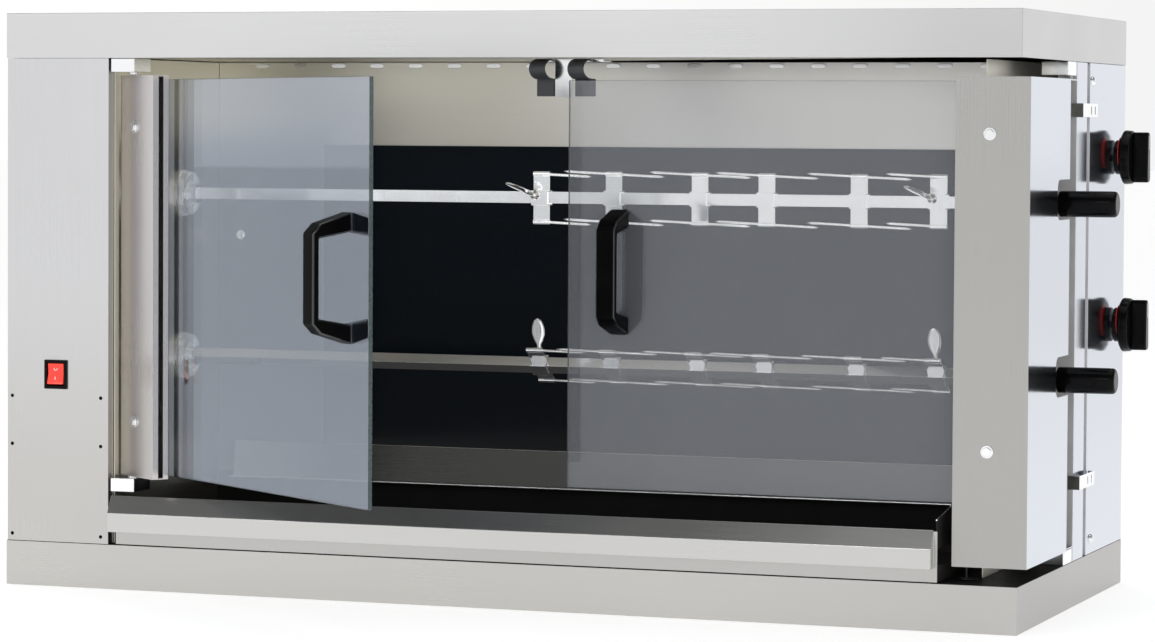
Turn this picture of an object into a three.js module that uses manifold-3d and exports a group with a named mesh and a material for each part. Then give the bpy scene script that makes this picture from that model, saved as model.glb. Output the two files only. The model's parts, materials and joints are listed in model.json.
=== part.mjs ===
// Two-spit electric rotisserie oven: steel casing, hinged glass doors, chain-driven spits.
// Millimetres, +Z up, +X to the right, the front faces -Y.
// The origin is on the underside of the base, in the middle of its footprint.
import * as THREE from 'three';
import { mergeVertices } from 'three/addons/utils/BufferGeometryUtils.js';
import Module from 'manifold-3d';

const wasm = await Module();
wasm.setup();

// ---- Driving dimensions ----
const WIDTH = 1088;
const DEPTH = 470;
const HEIGHT = 600;
const BASE_HEIGHT = 46.5;
const HOOD_HEIGHT = 47;
const SHEET = 1.2;
const GAP = 0.3;

// Left cabinet, oven cavity and right-hand wiring box
const CABINET_WIDTH = 118;
const CAVITY_DEPTH = 265;
const SIDE_BOX_WIDTH = 50;
const SIDE_BOX_FRONT = 236;
const SIDE_GROOVE = { front: 283, back: 296, depth: 6 };

// Doors: depth of the closed front face, channel thickness, swing axis and angle at rest
const DOOR_FRONT = 16;
const STILE_WIDTH = 74;
const STILE_DEPTH = 18;
const PIVOT_INSET = 10;
const DOOR_REACH = 478;
const LEFT_DOOR_OPEN = 37;
const GLASS_THICKNESS = 5;
const GLASS_BOTTOM = 121.5;
const GLASS_TOP = 531;
const PIN_RADIUS = 2.6;
const PIN_BORE = 3.1;
const HINGE_BLOCK = { width: 27, depth: 38, height: 14 };

// Side return of the right door
const RETURN_X = 549;
const RETURN_BACK = 186;
const RIGHT_PIVOT = { x: 539, depth: 226 };
const RIGHT_DOOR_BOTTOM = 62;
const DOOR_TOP = 535;
const LEFT_DOOR_BOTTOM = 118;

// Spits and their drive
const SPIT_DEPTH = 176;
const SPIT_HEIGHTS = { upper: 410.5, lower: 235 };
const LOWER_SPIT_TURN = 48;
const BAR_SIZE = 12;
const SPIT_HANDLE = { radius: 13, start: 541, end: 600 };
const FORK_PLACES = [-10, 70, 164, 236, 334, 417];
const PRONG_SPREAD = 25;
const CHAIN_X = -452;
const SPROCKET_TEETH = 14;
const SPROCKET_RADIUS = 28;
const MOTOR = { depth: 262, height: 322.75 };

// Controls
const KNOB = { depth: 420, radius: 29 };
const KNOB_HEIGHTS = { upper: 455.5, lower: 279 };
const SWITCH = { x: -486, z: 222.5, width: 26, height: 30.4 };

const HALF = WIDTH / 2;
const PANEL_BOTTOM = BASE_HEIGHT + GAP;
const PANEL_TOP = HEIGHT - HOOD_HEIGHT - GAP;
const CABINET_EDGE = -HALF + 1 + CABINET_WIDTH;
const SIDE_WALL_X = HALF - SIDE_BOX_WIDTH;
const LEFT_PIVOT = { x: CABINET_EDGE + 16.5, depth: DOOR_FRONT + PIVOT_INSET };

// Depth behind the front face of the hood, as a Y coordinate
const y = (depth) => depth - DEPTH / 2;

// ---- Materials ----
const paint = (color, roughness, metalness, opacity = 1) =>
  new THREE.MeshStandardMaterial({ color, roughness, metalness, opacity, transparent: opacity < 1 });
const materials = {
  casing: paint(0xd3d2cd, 0.35, 0.9),
  door: paint(0xbbb9b3, 0.3, 0.9),
  liner: paint(0xb4b0a4, 0.4, 0.8),
  bright: paint(0xe6e8ec, 0.18, 1),
  chrome: paint(0xeef0f2, 0.12, 1),
  ceramic: paint(0x0c121b, 0.08, 0.1),
  glass: paint(0x98a2a8, 0.05, 0.1, 0.4),
  black: paint(0x0a0a0b, 0.25, 0),
  rubber: paint(0x33363a, 0.7, 0),
  red: paint(0xe01a0c, 0.3, 0),
  cast: paint(0x8a8d90, 0.6, 0.6),
  chain: paint(0x4a4a4c, 0.5, 0.8),
};

// ---- Solids: joining, cutting and basic shapes ----
function toSolid(geometry) {
  const bare = geometry.clone();
  bare.deleteAttribute('normal');
  bare.deleteAttribute('uv');
  const merged = mergeVertices(bare, 1e-4);
  const vertProperties = Float32Array.from(merged.attributes.position.array);
  const triVerts = Uint32Array.from(merged.index.array);
  return new wasm.Manifold(new wasm.Mesh({ numProp: 3, vertProperties, triVerts }));
}

function toGeometry(solid) {
  const mesh = solid.getMesh();
  const geometry = new THREE.BufferGeometry();
  geometry.setAttribute('position', new THREE.BufferAttribute(mesh.vertProperties, 3));
  geometry.setIndex(new THREE.BufferAttribute(mesh.triVerts, 1));
  geometry.computeVertexNormals();
  return geometry;
}

const combine = (operation, first, rest) =>
  toGeometry(rest.reduce((sum, next) => sum[operation](toSolid(next)), toSolid(first)));
const join = (first, ...rest) => combine('add', first, rest);
const cut = (first, ...rest) => combine('subtract', first, rest);

// Block between two opposite corners
function block([x0, y0, z0], [x1, y1, z1]) {
  const geometry = new THREE.BoxGeometry(x1 - x0, y1 - y0, z1 - z0);
  return geometry.translate((x0 + x1) / 2, (y0 + y1) / 2, (z0 + z1) / 2);
}

const X = new THREE.Vector3(1, 0, 0);
const Y = new THREE.Vector3(0, 1, 0);
const Z = new THREE.Vector3(0, 0, 1);
const PLACING = {
  x: () => new THREE.Matrix4().makeBasis(Y, Z, X),
  y: () => new THREE.Matrix4().makeBasis(X, Z, Y.clone().negate()),
  z: () => new THREE.Matrix4(),
};

// Outline pushed along an axis: points are (y, z) for x, (x, z) for y and (x, y) for z
function prism(axis, points, from, to, hole = null, bevel = 0) {
  const shape = new THREE.Shape(points.map(([u, v]) => new THREE.Vector2(u, v)));
  if (hole) shape.holes.push(new THREE.Path(hole.map(([u, v]) => new THREE.Vector2(u, v))));
  const geometry = new THREE.ExtrudeGeometry(shape, {
    depth: to - from - 2 * bevel,
    bevelEnabled: bevel > 0,
    bevelSize: bevel,
    bevelThickness: bevel,
    bevelOffset: -bevel,
    bevelSegments: 1,
    curveSegments: 1,
  });
  const start = axis === 'y' ? -to + bevel : from + bevel;
  return geometry.translate(0, 0, start).applyMatrix4(PLACING[axis]());
}

// Corners of a regular polygon about a centre
const ring = (radius, sides, [u, v] = [0, 0], turn = 0) =>
  Array.from({ length: sides }, (_, i) => {
    const angle = turn + (2 * Math.PI * i) / sides;
    return [u + radius * Math.cos(angle), v + radius * Math.sin(angle)];
  });

const rod = (axis, centre, radius, from, to, sides = 12) =>
  prism(axis, ring(radius, sides, centre, Math.PI / sides), from, to);

// Solid of revolution about the X axis: the profile's points are (x, radius)
function turned(profile, sides) {
  const points = profile.map(([x, radius]) => new THREE.Vector2(radius, x));
  return new THREE.LatheGeometry(points, sides).rotateZ(-Math.PI / 2).rotateX(Math.PI / sides);
}

// Outline of a folded sheet: the path is one face, and the sheet lies on the path's left
function folded(path, thickness = SHEET) {
  const heading = (a, b) => Math.atan2(b[1] - a[1], b[0] - a[0]);
  const inner = path.map((point, i) => {
    const into = heading(path[Math.max(i - 1, 0)], path[Math.max(i, 1)]);
    const last = path.length - 1;
    const out = heading(path[Math.min(i, last - 1)], path[Math.min(i + 1, last)]);
    const bend = (out - into) / 2;
    const reach = thickness / Math.cos(bend);
    const normal = into + bend + Math.PI / 2;
    return [point[0] + reach * Math.cos(normal), point[1] + reach * Math.sin(normal)];
  });
  return [...path, ...inner.reverse()];
}

const object = new THREE.Group();

function add(parent, name, geometry, material, position = [0, 0, 0]) {
  const mesh = new THREE.Mesh(geometry, materials[material]);
  mesh.name = name;
  mesh.position.set(...position);
  parent.add(mesh);
  return mesh;
}

function group(parent, position, axis = 'z', degrees = 0) {
  const holder = new THREE.Group();
  holder.position.set(...position);
  holder.rotation[axis] = THREE.MathUtils.degToRad(degrees);
  parent.add(holder);
  return holder;
}

// ---- Casing ----
function basePlinth() {
  const flange = 20;
  const stiffener = 30;
  const outer = block([-HALF, y(0), 0], [HALF, y(DEPTH), BASE_HEIGHT]);
  const inside = block(
    [-HALF + SHEET, y(SHEET), SHEET],
    [HALF - SHEET, y(DEPTH - SHEET), BASE_HEIGHT - SHEET],
  );
  const openings = [-1, 1].map((side) => {
    const ends = [side * stiffener, side * (HALF - flange)].sort((a, b) => a - b);
    return block([ends[0], y(flange), -1], [ends[1], y(DEPTH - flange), 2 * SHEET]);
  });
  return cut(outer, inside, ...openings);
}

function topHood() {
  const outer = block([-HALF, y(0), HEIGHT - HOOD_HEIGHT], [HALF, y(DEPTH), HEIGHT]);
  const inside = block(
    [-HALF + SHEET, y(SHEET), HEIGHT - HOOD_HEIGHT - 1],
    [HALF - SHEET, y(DEPTH - SHEET), HEIGHT - SHEET],
  );
  return cut(outer, inside);
}

const PANEL_FLANGE = 13;

function controlPanel() {
  const left = -HALF + 1;
  const profile = folded([
    [left, y(PANEL_FLANGE)],
    [left, y(1)],
    [CABINET_EDGE - GAP, y(1)],
    [CABINET_EDGE - GAP, y(PANEL_FLANGE)],
  ]);
  const panel = prism('z', profile, PANEL_BOTTOM, PANEL_TOP);
  const window = block([SWITCH.x - 11, y(0), SWITCH.z - 13], [SWITCH.x + 11, y(5), SWITCH.z + 13]);
  const edge = 8;
  const screwHoles = [54, 148.5, 199].flatMap((height) =>
    [left + edge - 2.5, CABINET_EDGE - edge - 1].map((x) => rod('y', [x, height], 2, y(0), y(5), 8)));
  return cut(panel, window, ...screwHoles);
}

const leftSidePanel = () => block(
  [-HALF + 1, y(PANEL_FLANGE + GAP), PANEL_BOTTOM],
  [-HALF + 1 + SHEET, y(DEPTH - 2), PANEL_TOP],
);

function backCover() {
  const cover = block(
    [-HALF + 2.6, y(DEPTH - 1.5), PANEL_BOTTOM],
    [HALF - 1.6, y(DEPTH - 0.3), PANEL_TOP],
  );
  const louvres = [-440, 0, 440].flatMap((x) => [420, 450, 480].map((z) =>
    block([x - 60, y(DEPTH - 5), z], [x + 60, y(DEPTH + 5), z + 8])));
  const glandHole = rod('y', [GLAND.x, GLAND.z], GLAND.radius + GAP, y(DEPTH - 5), y(DEPTH + 5));
  return cut(cover, ...louvres, glandHole);
}

// One folded sheet: front face of the wiring box, a recessed groove, then the panel with the knobs
function rightSidePanel() {
  const groove = HALF - SIDE_GROOVE.depth;
  const profile = folded([
    [HALF - 20, y(SIDE_BOX_FRONT + 12)],
    [HALF - 20, y(SIDE_BOX_FRONT)],
    [HALF, y(SIDE_BOX_FRONT)],
    [HALF, y(SIDE_GROOVE.front)],
    [groove, y(SIDE_GROOVE.front)],
    [groove, y(SIDE_GROOVE.back)],
    [HALF, y(SIDE_GROOVE.back)],
    [HALF, y(DEPTH - 2)],
  ]);
  const shaftHoles = Object.values(KNOB_HEIGHTS).map((z) =>
    rod('x', [y(KNOB.depth), z], 6, HALF - 5, HALF + 5));
  return cut(prism('z', profile, PANEL_BOTTOM, PANEL_TOP), ...shaftHoles);
}

// ---- Oven cavity ----
function cavityLeftWall() {
  const wall = block(
    [CABINET_EDGE, y(PANEL_FLANGE + GAP), PANEL_BOTTOM],
    [CABINET_EDGE + SHEET, y(DEPTH - 2), PANEL_TOP],
  );
  const shaftHoles = Object.values(SPIT_HEIGHTS).map((z) =>
    rod('x', [y(SPIT_DEPTH), z], HUB_RADIUS + 2, CABINET_EDGE - 5, CABINET_EDGE + 5));
  return cut(wall, ...shaftHoles);
}

const RIGHT_WALL_FRONT = 60;
const JOURNAL_RADIUS = 6;

// The slots are open to the front, so that a spit lifts out forwards
function cavityRightWall() {
  const wall = block(
    [SIDE_WALL_X, y(RIGHT_WALL_FRONT), PANEL_BOTTOM],
    [SIDE_WALL_X + SHEET, y(DEPTH - 2), PANEL_TOP],
  );
  const slots = Object.values(SPIT_HEIGHTS).map((z) => block(
    [SIDE_WALL_X - 5, y(RIGHT_WALL_FRONT - 5), z - JOURNAL_RADIUS - 0.5],
    [SIDE_WALL_X + 5, y(SPIT_DEPTH + JOURNAL_RADIUS + 2), z + JOURNAL_RADIUS + 2.5],
  ));
  return cut(wall, ...slots);
}

const LINER = { left: CABINET_EDGE + SHEET + GAP, right: SIDE_WALL_X - GAP };
const CERAMIC = { left: -296, right: 480, bottom: 137.5, top: 463 };

function cavityBackWall() {
  const wall = block(
    [LINER.left, y(CAVITY_DEPTH), PANEL_BOTTOM],
    [LINER.right, y(CAVITY_DEPTH + SHEET), PANEL_TOP],
  );
  const margin = 10;
  const window = block(
    [CERAMIC.left + margin, y(CAVITY_DEPTH - 5), CERAMIC.bottom + margin],
    [CERAMIC.right - margin, y(CAVITY_DEPTH + 5), CERAMIC.top - margin],
  );
  const ventPitch = 45.3;
  const vents = Array.from({ length: 19 }, (_, i) => {
    const x = 36.9 + (i - 9) * ventPitch;
    return block(
      [x - 6, y(CAVITY_DEPTH - 5), PANEL_TOP - 5.4],
      [x + 6, y(CAVITY_DEPTH + 5), PANEL_TOP - 1.4],
    );
  });
  return cut(wall, window, ...vents);
}

const ceramicBackPanel = () => block(
  [CERAMIC.left, y(CAVITY_DEPTH - 4), CERAMIC.bottom],
  [CERAMIC.right, y(CAVITY_DEPTH - GAP), CERAMIC.top],
);

const lowerReflector = () => prism('x', folded([
  [y(CAVITY_DEPTH - 12), 97],
  [y(CAVITY_DEPTH - 6), 98],
  [y(CAVITY_DEPTH - GAP), CERAMIC.bottom - 0.8],
]), LINER.left + 21, CERAMIC.right);

const ceilingPanel = () => block(
  [LINER.left, y(3), PANEL_TOP + 2 * GAP + 0.4],
  [LINER.right, y(CAVITY_DEPTH - GAP), PANEL_TOP + 2 * GAP + 0.4 + SHEET],
);

// Flat radiant element behind the ceramic panel, one for each spit
function radiantHeater() {
  const { left, right } = CERAMIC;
  const pan = block([left + 20, y(CAVITY_DEPTH + 0.5), -41], [right - 20, y(CAVITY_DEPTH + 26), 41]);
  const terminal = block(
    [right - 40, y(CAVITY_DEPTH + 20), -10],
    [right - 24, y(CAVITY_DEPTH + 40), 10],
  );
  return join(pan, terminal);
}

// ---- Hinges, catches and clips ----
function hingeBlock(pinX, pinDepth) {
  const { width, depth, height } = HINGE_BLOCK;
  const bore = rod('z', [pinX, pinDepth], PIN_BORE, -1, height + 1);
  return cut(block([0, 0, 0], [width, depth, height]), bore);
}

const CATCH = { width: 17, left: 34, right: 75, front: 43.5, bottom: 515, leafBottom: 532 };

// Bowed leaf spring with a rubber stop at its lower end, behind the edge of a closed door
function doorCatch(x) {
  const centre = (CATCH.leafBottom + PANEL_TOP) / 2;
  const rise = (PANEL_TOP - CATCH.leafBottom) / 2;
  const bow = 24;
  const leaf = Array.from({ length: 13 }, (_, i) => {
    const angle = Math.PI / 2 - (Math.PI * i) / 12;
    return [y(CATCH.front + 0.5 - bow * Math.cos(angle)), centre + rise * Math.sin(angle)];
  });
  const stop = block(
    [x, y(CATCH.front), CATCH.bottom],
    [x + CATCH.width, y(CATCH.front + 14), CATCH.leafBottom + 0.8],
  );
  return join(prism('x', folded(leaf), x, x + CATCH.width), stop);
}

function catchBracket() {
  const tongue = block([52, y(47), 514], [70, y(47 + SHEET), PANEL_TOP]);
  const strap = block([36, y(47), PANEL_TOP - 3], [104, y(70), PANEL_TOP]);
  const room = [CATCH.left, CATCH.right].map((x) =>
    block([x - GAP, y(40), PANEL_TOP - 20], [x + CATCH.width + GAP, y(58), PANEL_TOP + 1]));
  return cut(join(tongue, strap), ...room);
}

// Strap on the wiring box that bridges the groove
function sideClip() {
  const height = 14;
  const reach = 7.5;
  const profile = folded([
    [HALF - 5, y(SIDE_BOX_FRONT - GAP)],
    [HALF - 5, y(SIDE_BOX_FRONT - 3)],
    [HALF + reach, y(SIDE_BOX_FRONT - 3)],
    [HALF + reach, y(300)],
    [HALF + 0.8, y(302)],
  ]);
  const slots = [271, 288].map((depth) =>
    block([HALF + 4, y(depth - 2), 3], [HALF + 9, y(depth + 2), height - 3]));
  return cut(prism('z', profile, 0, height), ...slots);
}

// ---- Doors: built closed, about their own hinge axis ----
const HANDLE = { width: 21, reach: 43, z: 339.6, base: 63, waist: 44 };
const HANDLE_INSET = { left: 41, right: 55 };

// Bridge handle: two splayed legs and a straight grip, with chamfered edges
function doorHandle() {
  const { reach, base, width, waist } = HANDLE;
  const half = [[0, base], [-reach + 9, base - 10.5], [-reach, waist - 1]];
  const opening = [[1, waist], [-reach + 8, waist - 6]];
  const mirrored = (points) => points.map(([u, v]) => [u, -v]).reverse();
  const outline = [
    ...half, ...mirrored(half),
    ...mirrored(opening).reverse().map(([u, v]) => [Math.min(u, 0), v]),
    ...opening.slice().reverse().map(([u, v]) => [Math.min(u, 0), v]),
  ];
  return prism('x', outline, -width / 2, width / 2, null, 1.8);
}

const PIN_LENGTH = 10;

function leftDoorFrame() {
  const front = -PIVOT_INSET;
  const back = front + STILE_DEPTH;
  const profile = folded([
    [-PIVOT_INSET + STILE_WIDTH, front + 6.5],
    [-PIVOT_INSET + STILE_WIDTH, front],
    [-PIVOT_INSET, front],
    [-PIVOT_INSET, back],
    [-PIVOT_INSET + STILE_WIDTH, back],
    [-PIVOT_INSET + STILE_WIDTH, back - 6],
  ].reverse());
  const channel = prism('z', profile, LEFT_DOOR_BOTTOM, DOOR_TOP);
  const inner = [-PIVOT_INSET + 0.5, front + 0.5, -PIVOT_INSET + STILE_WIDTH - 0.5, back - 0.5];
  const caps = [LEFT_DOOR_BOTTOM, DOOR_TOP - SHEET].map((z) =>
    block([inner[0], inner[1], z], [inner[2], inner[3], z + SHEET]));
  const pins = [
    rod('z', [0, 0], PIN_RADIUS, LEFT_DOOR_BOTTOM - PIN_LENGTH, LEFT_DOOR_BOTTOM + SHEET),
    rod('z', [0, 0], PIN_RADIUS, DOOR_TOP - SHEET, DOOR_TOP + PIN_LENGTH),
  ];
  return join(channel, ...caps, ...pins);
}

function rightDoorFrame() {
  const edge = RETURN_X - STILE_WIDTH;
  const back = DOOR_FRONT + STILE_DEPTH;
  const profile = folded([
    [edge, y(DOOR_FRONT + 6.5)],
    [edge, y(DOOR_FRONT)],
    [RETURN_X, y(DOOR_FRONT)],
    [RETURN_X, y(RETURN_BACK)],
  ]);
  const shell = prism('z', profile, RIGHT_DOOR_BOTTOM, DOOR_TOP);
  const rear = block([edge, y(back - SHEET), RIGHT_DOOR_BOTTOM], [RETURN_X - 0.5, y(back), DOOR_TOP]);
  const caps = [RIGHT_DOOR_BOTTOM, DOOR_TOP - SHEET].flatMap((z) => [
    block([edge + 0.5, y(DOOR_FRONT + 0.5), z], [RETURN_X - 0.5, y(back - 0.5), z + SHEET]),
    block([RIGHT_PIVOT.x - 6, y(back - 0.5), z], [RETURN_X - 0.5, y(RETURN_BACK - 0.5), z + SHEET]),
    block([RIGHT_PIVOT.x - 6, y(back), z], [RIGHT_PIVOT.x + 6, y(RIGHT_PIVOT.depth + 6), z + SHEET]),
  ]);
  const axis = [RIGHT_PIVOT.x, y(RIGHT_PIVOT.depth)];
  const pins = [
    rod('z', axis, PIN_RADIUS, RIGHT_DOOR_BOTTOM - PIN_LENGTH, RIGHT_DOOR_BOTTOM + SHEET),
    rod('z', axis, PIN_RADIUS, DOOR_TOP - SHEET, DOOR_TOP + PIN_LENGTH),
  ];
  const notches = Object.values(SPIT_HEIGHTS).map((z) => notch(z));
  return cut(join(shell, rear, ...caps, ...pins), ...notches);
}

// Opening in the rear edge of the side return that a spit's handle passes through
function notch(spitHeight) {
  const front = 133;
  const corner = 9;
  const [bottom, top] = [spitHeight - 15.5, spitHeight + 24.5];
  const arc = (z, from) => Array.from({ length: 5 }, (_, i) => {
    const angle = from + (Math.PI / 8) * i;
    return [y(front + corner) + corner * Math.cos(angle), z + corner * Math.sin(angle)];
  });
  return prism('x', [
    ...arc(top - corner, Math.PI / 2),
    ...arc(bottom + corner, Math.PI),
    [y(RETURN_BACK + 5), bottom],
    [y(RETURN_BACK + 5), top],
  ], RETURN_X - 10, RETURN_X + 5);
}

// ---- Drip tray ----
const TRAY = { left: -416, right: 465, back: 255, bottom: 47.4, lip: 97 };
const TRAY_GRIP = { left: -421, right: 461, front: -9 };

function dripTray() {
  const { left, right, back, bottom, lip } = TRAY;
  const grip = TRAY_GRIP;
  const floor = bottom + SHEET;
  const pan = cut(
    block([left, y(0), bottom], [right, y(back), bottom + 16]),
    block([left + SHEET, y(SHEET), floor], [right - SHEET, y(back - SHEET), bottom + 20]),
  );
  const front = block([left, y(0), bottom], [right, y(SHEET), lip]);
  const outline = [
    [y(SHEET), lip],
    [y(0), lip],
    [y(grip.front), lip - 17],
    [y(grip.front), lip - 35],
  ];
  const nose = prism('x', folded([...outline, [y(-3), lip - 35]].reverse()), grip.left, grip.right);
  const ends = [grip.left, grip.right - SHEET].map((x) =>
    prism('x', [...outline, [y(SHEET), lip - 35]], x, x + SHEET));
  return join(pan, front, nose, ...ends);
}

// ---- Spits ----
const HUB_RADIUS = 11;
const SOCKET_CLEARANCE = 0.4;
const HUB_END = CABINET_EDGE + 20;
const SOCKET_DEPTH = 20.5;

// Shaft with the square socket for the bar, and the chain sprocket on its cabinet end
function driveShaft(toothTurn) {
  const half = BAR_SIZE / 2 + SOCKET_CLEARANCE;
  const hub = rod('x', [0, 0], HUB_RADIUS, CABINET_EDGE - 8, HUB_END, 20);
  const shaft = rod('x', [0, 0], 8, CHAIN_X - 14, CABINET_EDGE - 7, 14);
  const socket = block([HUB_END - SOCKET_DEPTH, -half, -half], [HUB_END + 5, half, half]);
  return cut(join(shaft, hub, sprocket(toothTurn)), socket);
}

function sprocket(toothTurn = 0) {
  const pitch = (2 * Math.PI) / SPROCKET_TEETH;
  const outline = Array.from({ length: SPROCKET_TEETH }, (_, i) => [
    [SPROCKET_RADIUS - 3.5, -0.3], [SPROCKET_RADIUS - 3.5, 0.3],
    [SPROCKET_RADIUS + 3, 0.44], [SPROCKET_RADIUS + 3, 0.56],
  ].map(([radius, step]) => {
    const angle = toothTurn + (i + step) * pitch;
    return [radius * Math.cos(angle), radius * Math.sin(angle)];
  })).flat();
  return prism('x', outline, CHAIN_X - 1.5, CHAIN_X + 1.5);
}

// Flanged housing on the cavity wall in which the drive shaft turns
const bearingCup = () => {
  const wall = CABINET_EDGE + SHEET + GAP;
  const cup = rod('x', [0, 0], 25, wall, wall + 11, 28);
  return cut(cup, rod('x', [0, 0], HUB_RADIUS + 0.5, wall - 1, wall + 20, 20));
};

const JOURNAL_START = 462;

function spitBar() {
  const half = BAR_SIZE / 2;
  const bar = block([HUB_END - SOCKET_DEPTH + 1, -half, -half], [JOURNAL_START + 1, half, half]);
  const journal = rod('x', [0, 0], JOURNAL_RADIUS - 0.1, JOURNAL_START, SPIT_HANDLE.end - 20, 12);
  return join(bar, journal);
}

function spitHandle() {
  const { radius, start, end } = SPIT_HANDLE;
  const grip = turned([[start, 0], [start, radius], [end - 3, radius], [end, radius - 3], [end, 0]], 20);
  return cut(grip, rod('x', [0, 0], JOURNAL_RADIUS + GAP, start - 1, end - 20 + GAP, 12));
}

// Clip on the bar with two plates and a pointed wire along each outer edge.
// The wires are skewed a little, so that neighbouring forks pass each other.
function fork(reaches) {
  const hole = BAR_SIZE / 2 + SOCKET_CLEARANCE;
  const outer = hole + 1.4;
  const half = 9;
  const skew = 0.045;
  const sleeve = block([-half, -outer, -outer], [half, outer, outer]);
  const bar = block([-half - 1, -hole, -hole], [half + 1, hole, hole]);
  const plates = [-1, 1].map((side) => {
    const ends = [side * (outer - 0.5), side * PRONG_SPREAD].sort((a, b) => a - b);
    return block([-half, -0.8, ends[0]], [half, 0.8, ends[1]]);
  });
  const rolls = [-1, 1].map((side) => rod('x', [0, side * PRONG_SPREAD], 2.6, -half, half, 8));
  const wires = [-1, 1].map((side) => {
    const [left, right] = reaches;
    const point = 6;
    const profile = [[-left, 0], [point - left, 1.4], [right - point, 1.4], [right, 0]];
    return turned(profile, 6).rotateY(skew).translate(0, 0, side * PRONG_SPREAD);
  });
  return cut(join(sleeve, ...plates, ...rolls, ...wires), bar);
}

// ---- Chain and motor ----
const CHAIN_AXES = [
  [y(SPIT_DEPTH), SPIT_HEIGHTS.lower],
  [y(MOTOR.depth), MOTOR.height],
  [y(SPIT_DEPTH), SPIT_HEIGHTS.upper],
];

// Line round the three sprockets, at a given radius: an arc on each and straight runs between them
function chainLoop(radius, steps = 6) {
  return CHAIN_AXES.flatMap((centre, i) => {
    const before = CHAIN_AXES[(i + 2) % 3];
    const after = CHAIN_AXES[(i + 1) % 3];
    const from = Math.atan2(centre[1] - before[1], centre[0] - before[0]) - Math.PI / 2;
    const to = Math.atan2(after[1] - centre[1], after[0] - centre[0]) - Math.PI / 2;
    const sweep = (to - from + 4 * Math.PI) % (2 * Math.PI);
    return Array.from({ length: steps + 1 }, (_, k) => {
      const angle = from + (sweep * k) / steps;
      return [centre[0] + radius * Math.cos(angle), centre[1] + radius * Math.sin(angle)];
    });
  });
}

function driveChain() {
  const [outer, inner] = [4, -4].map((step) => chainLoop(SPROCKET_RADIUS + step));
  const plates = [-3.4, 2.2].map((offset) =>
    prism('x', outer, CHAIN_X + offset, CHAIN_X + offset + SHEET, inner));
  const rollers = CHAIN_AXES.flatMap((centre, i) => {
    const after = CHAIN_AXES[(i + 1) % 3];
    const angle = Math.atan2(after[1] - centre[1], after[0] - centre[0]) - Math.PI / 2;
    return [0.38, 0.5, 0.62].map((share) => rod('x', [
      centre[0] + (after[0] - centre[0]) * share + SPROCKET_RADIUS * Math.cos(angle),
      centre[1] + (after[1] - centre[1]) * share + SPROCKET_RADIUS * Math.sin(angle),
    ], 2.6, CHAIN_X - 3, CHAIN_X + 3, 6));
  });
  return join(plates[0], plates[1], ...rollers);
}

function gearmotor() {
  const gearbox = block([CHAIN_X - 50, -32, -42], [CHAIN_X - 12, 32, 42]);
  const motor = rod('x', [0, -8], 30, CHAIN_X - 86, CHAIN_X - 49, 16);
  const foot = block([CHAIN_X - 46, -32, -56], [CHAIN_X - 43, 32, -41]);
  const bore = rod('x', [0, 0], 6.6, CHAIN_X - 30, CHAIN_X, 14);
  return cut(join(gearbox, motor, foot), bore);
}

const motorSprocket = () => join(rod('x', [0, 0], 6, CHAIN_X - 26, CHAIN_X + 8, 14), sprocket());

// ---- Controls ----
function knob() {
  const { radius } = KNOB;
  const profile = [[8.5, 0], [8.5, 25], [10, radius], [19, radius - 1], [20, radius - 3], [20, 0]];
  const skirt = turned(profile, 28);
  const boss = rod('x', [0, 0], 18, 1.5, 9, 20);
  const tip = [[-6, 1 - radius], [6, 1 - radius], [6, radius - 1], [-6, radius - 1]];
  const grip = prism('x', tip, 19, 36.5, null, 1);
  return cut(join(skirt, boss, grip), rod('x', [0, 0], 3.5, 0, 16, 12));
}

function regulator() {
  const body = block([HALF - 44, -22, -22], [HALF - 8, 22, 22]);
  return join(body, rod('x', [0, 0], 3, HALF - 9, HALF + 14, 12));
}

function switchBody() {
  const { width, height } = SWITCH;
  const bezel = block([-width / 2, y(-1.4), -height / 2], [width / 2, y(1 - GAP), height / 2]);
  const housing = block([-10.8, y(0), -12.8], [10.8, y(26), 12.8]);
  const pocket = block([-9.8, y(-5), -11.8], [9.8, y(14), 11.8]);
  return cut(join(bezel, housing), pocket);
}

// Two-way rocker whose faces meet in a shallow ridge over its axis
const switchRocker = () => prism('x', [[-6.5, -11], [-4.5, 0], [-6.5, 11], [3, 9], [3, -9]], -9.2, 9.2);

const GLAND = { x: -500, z: 90, radius: 9 };

function cableGland() {
  const nut = rod('y', [GLAND.x, GLAND.z], 13, y(DEPTH + GAP), y(DEPTH + 8), 6);
  const barrel = rod('y', [GLAND.x, GLAND.z], GLAND.radius, y(DEPTH - 14), y(DEPTH + 14), 14);
  return cut(join(nut, barrel), rod('y', [GLAND.x, GLAND.z], 4, y(DEPTH - 20), y(DEPTH + 20), 10));
}

// ---- Assembly ----
add(object, 'base_plinth', basePlinth(), 'casing');
add(object, 'top_hood', topHood(), 'casing');
add(object, 'control_panel', controlPanel(), 'casing');
add(object, 'left_side_panel', leftSidePanel(), 'casing');
add(object, 'right_side_panel', rightSidePanel(), 'casing');
add(object, 'back_cover', backCover(), 'casing');
add(object, 'cavity_left_wall', cavityLeftWall(), 'liner');
add(object, 'cavity_right_wall', cavityRightWall(), 'liner');
add(object, 'cavity_back_wall', cavityBackWall(), 'liner');
add(object, 'ceiling_panel', ceilingPanel(), 'liner');
add(object, 'ceramic_back_panel', ceramicBackPanel(), 'ceramic');
add(object, 'lower_reflector', lowerReflector(), 'liner');

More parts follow.
